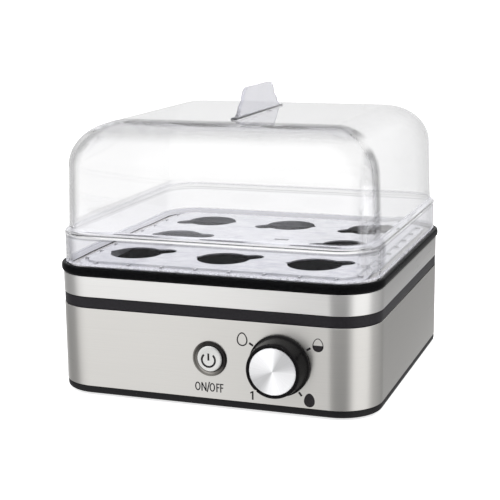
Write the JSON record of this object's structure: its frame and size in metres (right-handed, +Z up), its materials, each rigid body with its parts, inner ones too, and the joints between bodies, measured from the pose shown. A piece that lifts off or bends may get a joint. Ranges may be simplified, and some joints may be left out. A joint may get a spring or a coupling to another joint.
{
  "type": "egg boiler",
  "caption": "Egg boiler with a clear egg tray under a clear hood, on a low brushed steel body with black rings, a push button and a turning knob",
  "frame": {"origin": "middle of the footprint, on the surface that the feet stand on", "axes": "+Z up, front with button and knob towards -Y, +X to the right as seen from the front"},
  "size_m": [0.2022, 0.2134, 0.1812],
  "materials": {
    "steel": "brushed, horizontal grain",
    "black_plastic": "fine satin",
    "coated_metal": "black non-stick coating inside the dish",
    "clear_plastic": "clear moulded plastic, polished",
    "aluminium": "plain",
    "spun_metal": "spun, with a fine circular grain",
    "dark_chrome": "dark bright ring",
    "bright_steel": "plain zinc or bare steel",
    "rubber": "matte",
    "silicone": "matte red",
    "ceramic": "matte white",
    "board_green": "solder mask",
    "brown_plastic": "moulded"
  },
  "bodies": {
    "base": {"base_pan": "black_plastic", "lower_casing": "steel", "middle_trim_ring": "black_plastic", "upper_band": "steel", "upper_trim_ring": "black_plastic", "foot_front_left": "rubber", "foot_front_right": "rubber", "foot_rear_left": "rubber", "foot_rear_right": "rubber", "cord_grommet": "rubber", "base_screw_front_left": "bright_steel", "base_screw_front_right": "bright_steel", "base_screw_rear_left": "bright_steel", "base_screw_rear_right": "bright_steel", "ring_screw_front_left": "bright_steel", "ring_screw_front_right": "bright_steel", "ring_screw_rear_left": "bright_steel", "ring_screw_rear_right": "bright_steel", "heating_bowl": "coated_metal", "bowl_seal": "silicone", "diffuser_plate": "aluminium", "heating_element": "bright_steel", "thermostat": "ceramic", "thermal_fuse": "ceramic", "sensor_clip": "bright_steel", "clip_nut_left": "bright_steel", "clip_nut_right": "bright_steel", "bowl_strap_front": "bright_steel", "bowl_strap_rear": "bright_steel", "bowl_nut_front_left": "bright_steel", "bowl_nut_front_right": "bright_steel", "bowl_nut_rear_left": "bright_steel", "bowl_nut_rear_right": "bright_steel", "control_carrier": "black_plastic", "button_bezel": "dark_chrome", "button_spring": "bright_steel", "push_switch": "black_plastic", "potentiometer": "brown_plastic", "potentiometer_nut": "bright_steel", "control_board": "board_green", "relay": "black_plastic", "buzzer": "black_plastic", "capacitor": "brown_plastic", "terminal_block": "ceramic"},
    "hood": {"hood": "clear_plastic"},
    "egg_tray": {"egg_tray": "clear_plastic"},
    "knob": {"knob_body": "black_plastic", "knob_cap": "spun_metal", "potentiometer_shaft": "aluminium"},
    "button": {"button_cap": "spun_metal"}
  },
  "joints": [
    {"name": "hood_lift", "type": "slide", "parent": "base", "child": "hood", "axis": [0, 0, 1], "range_m": [0, 0.12]},
    {"name": "tray_lift", "type": "slide", "parent": "base", "child": "egg_tray", "axis": [0, 0, 1], "range_m": [0, 0.03]},
    {"name": "knob_turn", "type": "hinge", "parent": "base", "child": "knob", "pos_m": [0.0456, -0.0997, 0.0304], "axis": [0, 1, 0], "range_deg": [0, 283]},
    {"name": "button_press", "type": "slide", "parent": "base", "child": "button", "axis": [0, 1, 0], "range_m": [0, 0.0015], "stiffness_N_per_m": 300, "springref_m": -0.001, "deforming": ["button_spring"]}
  ]
}
